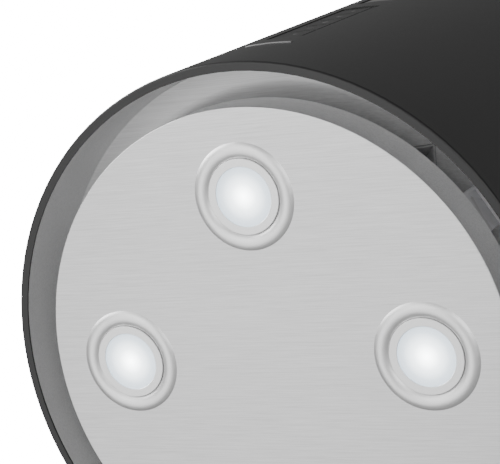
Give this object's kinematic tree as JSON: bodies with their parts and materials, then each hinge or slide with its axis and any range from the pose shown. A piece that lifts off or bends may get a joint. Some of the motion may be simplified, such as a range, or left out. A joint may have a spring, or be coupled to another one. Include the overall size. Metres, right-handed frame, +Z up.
{
  "type": "island range hood",
  "caption": "Round ceiling-hung island range hood with a perimeter suction panel, recessed lamps, a front key strip, a fan and a telescopic cover.",
  "frame": {"origin": "centre of the ceiling bolt circle, on the ceiling plate's top face", "axes": "+Z up; the key strip is on the front, which faces -Y; +X is to the right seen from the front"},
  "size_m": [0.38, 0.3805, 0.9017],
  "materials": {
    "black_paint": "satin black coat",
    "brushed_stainless": "straight brushed",
    "zinc_sheet": "zinc-plated sheet",
    "bright_pin": "polished",
    "screw_black": "black-plated",
    "lamp_chrome": "satin chrome",
    "lamp_glow": "lit diffuser",
    "heat_sink": "die-cast",
    "fascia_black": "black gloss",
    "dark_glass": "dark glass",
    "filter_alloy": "rolled",
    "fan_plastic": "moulded",
    "motor_steel": "grey coat",
    "circuit_board": "solder mask",
    "white_plastic": "moulded",
    "dark_plastic": "moulded"
  },
  "bodies": {
    "ceiling_frame": {"ceiling_plate": "zinc_sheet", "ceiling_rails": "zinc_sheet", "ceiling_brace": "zinc_sheet", "terminal_box": "zinc_sheet", "terminal_box_lid": "zinc_sheet", "terminal_block": "white_plastic", "cable_gland": "dark_plastic"},
    "upper_cover": {"upper_cover": "black_paint", "cover_screws": "screw_black"},
    "hood_body": {"lower_shell": "black_paint", "niche_trays": "black_paint", "control_fascia": "fascia_black", "display_window": "dark_glass", "switch_board": "circuit_board", "blank_badge": "fascia_black", "suction_ring": "brushed_stainless", "filter_hopper": "brushed_stainless", "base_deck": "zinc_sheet", "shell_screws": "screw_black", "ring_posts": "zinc_sheet", "hinge_arms": "zinc_sheet", "catch_bodies": "zinc_sheet", "scroll_front": "fan_plastic", "scroll_back": "fan_plastic", "motor_body": "motor_steel", "motor_bracket": "zinc_sheet", "fan_feet": "zinc_sheet", "control_box": "zinc_sheet", "control_box_lid": "zinc_sheet", "power_board": "circuit_board", "led_driver": "white_plastic", "wiring_loom": "dark_plastic", "outlet_plate": "zinc_sheet", "outlet_collar": "zinc_sheet", "frame_rails": "zinc_sheet", "adjust_bolts": "screw_black"},
    "perimeter_panel": {"panel_tray": "brushed_stainless", "panel_stiffener": "zinc_sheet", "lamp_rings": "lamp_chrome", "lamp_inserts": "lamp_chrome", "lamp_lenses": "lamp_glow", "lamp_bodies": "heat_sink", "lamp_springs": "bright_pin", "hinge_ears": "zinc_sheet", "hinge_pins": "bright_pin", "catch_strikes": "zinc_sheet"},
    "grease_filter": {"filter_frame": "filter_alloy", "filter_mesh": "filter_alloy", "filter_pull": "filter_alloy", "filter_clips": "bright_pin"},
    "fan_rotor": {"impeller": "fan_plastic", "impeller_hub": "fan_plastic", "motor_shaft": "bright_pin"},
    "flap_left": {"flap_left": "fan_plastic"},
    "flap_right": {"flap_right": "fan_plastic"},
    "key_1": {"key_1": "fascia_black"},
    "key_2": {"key_2": "fascia_black"},
    "key_3": {"key_3": "fascia_black"},
    "key_4": {"key_4": "fascia_black"},
    "key_5": {"key_5": "fascia_black"}
  },
  "joints": [
    {"name": "height_adjust", "type": "slide", "parent": "ceiling_frame", "child": "hood_body", "axis": [0, 0, 1], "range_m": [0, 0.1]},
    {"name": "cover_slide", "type": "slide", "parent": "ceiling_frame", "child": "upper_cover", "axis": [0, 0, -1], "range_m": [0, 0.12]},
    {"name": "panel_hinge", "type": "hinge", "parent": "hood_body", "child": "perimeter_panel", "pos_m": [0, 0.128, -0.886], "axis": [1, 0, 0], "range_deg": [0, 85]},
    {"name": "filter_drop", "type": "slide", "parent": "hood_body", "child": "grease_filter", "axis": [0, 0, -1], "range_m": [0, 0.03]},
    {"name": "fan_spin", "type": "hinge", "parent": "hood_body", "child": "fan_rotor", "pos_m": [0, 0, -0.7], "axis": [0, 1, 0], "continuous": true},
    {"name": "flap_left_swing", "type": "hinge", "parent": "hood_body", "child": "flap_left", "pos_m": [-0.004, 0, -0.555], "axis": [0, 1, 0], "range_deg": [0, 80]},
    {"name": "flap_right_swing", "type": "hinge", "parent": "hood_body", "child": "flap_right", "pos_m": [0.004, 0, -0.555], "axis": [0, -1, 0], "range_deg": [0, 80]},
    {"name": "key_1_press", "type": "slide", "parent": "hood_body", "child": "key_1", "axis": [0, 1, 0], "range_m": [0, 0.0016], "stiffness_N_per_m": 400},
    {"name": "key_2_press", "type": "slide", "parent": "hood_body", "child": "key_2", "axis": [0, 1, 0], "range_m": [0, 0.0016], "stiffness_N_per_m": 400},
    {"name": "key_3_press", "type": "slide", "parent": "hood_body", "child": "key_3", "axis": [0, 1, 0], "range_m": [0, 0.0016], "stiffness_N_per_m": 400},
    {"name": "key_4_press", "type": "slide", "parent": "hood_body", "child": "key_4", "axis": [0, 1, 0], "range_m": [0, 0.0016], "stiffness_N_per_m": 400},
    {"name": "key_5_press", "type": "slide", "parent": "hood_body", "child": "key_5", "axis": [0, 1, 0], "range_m": [0, 0.0016], "stiffness_N_per_m": 400}
  ]
}
